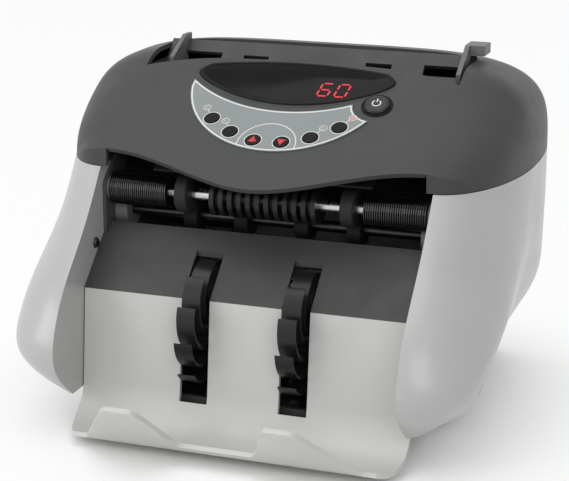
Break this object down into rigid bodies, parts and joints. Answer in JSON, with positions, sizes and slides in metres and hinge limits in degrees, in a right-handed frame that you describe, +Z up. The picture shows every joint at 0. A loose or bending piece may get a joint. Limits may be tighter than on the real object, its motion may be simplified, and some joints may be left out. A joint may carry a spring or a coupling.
{
  "type": "banknote counting machine",
  "caption": "Table-top banknote counter with a sloped hopper, key console, feed and exit rollers, finger-wheel stacker and a lobed catch tray.",
  "frame": {"origin": "on the table under the middle of the machine's outline", "axes": "-Y is the front where notes are taken out, +Z up, +X to the right in a front view"},
  "size_m": [0.2606, 0.2565, 0.1954],
  "materials": {
    "cover": "fine matt grain",
    "panel": "satin silver grey",
    "tray": "satin light grey",
    "back_plate": "matt black",
    "guide": "satin grey",
    "lens": "polished black tint",
    "keypad": "printed film",
    "key": "satin black",
    "button": "satin black",
    "lamp": "clear red",
    "board": "solder mask",
    "pan": "fine grain",
    "rubber": "matt",
    "steel": "ground",
    "frame": "matt dark grey",
    "black_plastic": "satin",
    "boss": "satin grey",
    "pulley": "natural moulded",
    "motor": "zinc plated"
  },
  "bodies": {
    "housing": {"top_cover": "cover", "left_side_panel": "panel", "right_side_panel": "panel", "rear_cover": "panel", "stacker_tray": "tray", "stacker_back_plate": "back_plate", "upper_guide": "back_plate", "hopper_plate": "back_plate", "note_bed": "back_plate", "display_lens": "lens", "keypad_panel": "keypad", "indicator_lenses": "lamp", "display_board": "board", "control_board": "board", "power_supply": "board", "base_pan": "pan", "rubber_feet": "rubber", "retard_roller": "rubber", "left_belts": "rubber", "right_belts": "rubber", "retard_axle": "steel", "frame_tie_bars": "steel", "cover_screws": "steel", "left_frame_plate": "frame", "right_frame_plate": "frame", "power_inlet": "black_plastic", "power_switch": "black_plastic", "wall_screws": "black_plastic", "shaft_bushes": "boss", "drive_motor": "motor"},
    "stacker_rotor": {"stacker_shaft": "steel", "left_stacker_wheel": "black_plastic", "right_stacker_wheel": "black_plastic", "stacker_pulley": "pulley"},
    "exit_rotor": {"exit_shaft": "steel", "exit_discs": "black_plastic", "exit_tyres": "rubber", "ribbed_rollers": "black_plastic", "exit_gear": "pulley"},
    "drive_rotor": {"drive_shaft": "steel", "drive_rollers": "rubber", "drive_gear": "pulley", "drive_pulleys": "pulley"},
    "feed_rotor": {"feed_shaft": "steel", "feed_rollers": "rubber", "feed_pulleys": "pulley"},
    "pickup_rotor": {"pickup_shaft": "steel", "pickup_rollers": "rubber", "pickup_pulley": "pulley"},
    "motor_rotor": {"motor_pulley": "pulley"},
    "right_guide": {"right_hopper_guide": "guide"},
    "left_guide": {"left_hopper_guide": "guide"},
    "rocker": {"power_rocker": "black_plastic"},
    "add_key_plunger": {"add_key": "key"},
    "batch_key_plunger": {"batch_key": "key"},
    "up_key_plunger": {"up_key": "key"},
    "down_key_plunger": {"down_key": "key"},
    "mode_key_plunger": {"mode_key": "key"},
    "detect_key_plunger": {"detect_key": "key"},
    "start_button_plunger": {"start_button": "button"}
  },
  "joints": [
    {"name": "feed_spin", "type": "hinge", "parent": "housing", "child": "feed_rotor", "pos_m": [0, 0.02501, 0.12854], "axis": [1, 0, 0], "continuous": true},
    {"name": "drive_spin", "type": "hinge", "parent": "housing", "child": "drive_rotor", "pos_m": [0, -0.00864, 0.10733], "axis": [1, 0, 0], "continuous": true},
    {"name": "exit_spin", "type": "hinge", "parent": "housing", "child": "exit_rotor", "pos_m": [0, -0.02202, 0.12219], "axis": [1, 0, 0], "continuous": true},
    {"name": "stacker_spin", "type": "hinge", "parent": "housing", "child": "stacker_rotor", "pos_m": [0, -0.039, 0.055], "axis": [1, 0, 0], "continuous": true},
    {"name": "pickup_spin", "type": "hinge", "parent": "housing", "child": "pickup_rotor", "pos_m": [0, 0.06148, 0.16575], "axis": [1, 0, 0], "continuous": true},
    {"name": "motor_spin", "type": "hinge", "parent": "housing", "child": "motor_rotor", "pos_m": [0, 0.075, 0.097], "axis": [1, 0, 0], "continuous": true},
    {"name": "add_key_press", "type": "slide", "parent": "housing", "child": "add_key_plunger", "axis": [0, 0.5, -0.866], "range_m": [0, 0.0006], "stiffness_N_per_m": 400, "springref_m": -0.0005},
    {"name": "batch_key_press", "type": "slide", "parent": "housing", "child": "batch_key_plunger", "axis": [0, 0.5, -0.866], "range_m": [0, 0.0006], "stiffness_N_per_m": 400, "springref_m": -0.0005},
    {"name": "up_key_press", "type": "slide", "parent": "housing", "child": "up_key_plunger", "axis": [0, 0.5, -0.866], "range_m": [0, 0.0006], "stiffness_N_per_m": 400, "springref_m": -0.0005},
    {"name": "down_key_press", "type": "slide", "parent": "housing", "child": "down_key_plunger", "axis": [0, 0.5, -0.866], "range_m": [0, 0.0006], "stiffness_N_per_m": 400, "springref_m": -0.0005},
    {"name": "mode_key_press", "type": "slide", "parent": "housing", "child": "mode_key_plunger", "axis": [0, 0.5, -0.866], "range_m": [0, 0.0006], "stiffness_N_per_m": 400, "springref_m": -0.0005},
    {"name": "detect_key_press", "type": "slide", "parent": "housing", "child": "detect_key_plunger", "axis": [0, 0.5, -0.866], "range_m": [0, 0.0006], "stiffness_N_per_m": 400, "springref_m": -0.0005},
    {"name": "start_button_press", "type": "slide", "parent": "housing", "child": "start_button_plunger", "axis": [0, 0.5, -0.866], "range_m": [0, 0.001], "stiffness_N_per_m": 400, "springref_m": -0.0005},
    {"name": "right_guide_slide", "type": "slide", "parent": "housing", "child": "right_guide", "axis": [-1, 0, 0], "range_m": [0, 0.022]},
    {"name": "left_guide_slide", "type": "slide", "parent": "housing", "child": "left_guide", "axis": [1, 0, 0], "range_m": [0, 0.022]},
    {"name": "rocker_tilt", "type": "hinge", "parent": "housing", "child": "rocker", "pos_m": [0.018, 0.123, 0.044], "axis": [1, 0, 0], "range_deg": [-24, 0]}
  ],
  "couplings": [
    {"joint": "drive_spin", "follows": "feed_spin", "ratio": 2.5714},
    {"joint": "exit_spin", "follows": "feed_spin", "ratio": -2.5714},
    {"joint": "stacker_spin", "follows": "feed_spin", "ratio": 0.92857},
    {"joint": "pickup_spin", "follows": "feed_spin", "ratio": 1},
    {"joint": "motor_spin", "follows": "feed_spin", "ratio": 2}
  ]
}
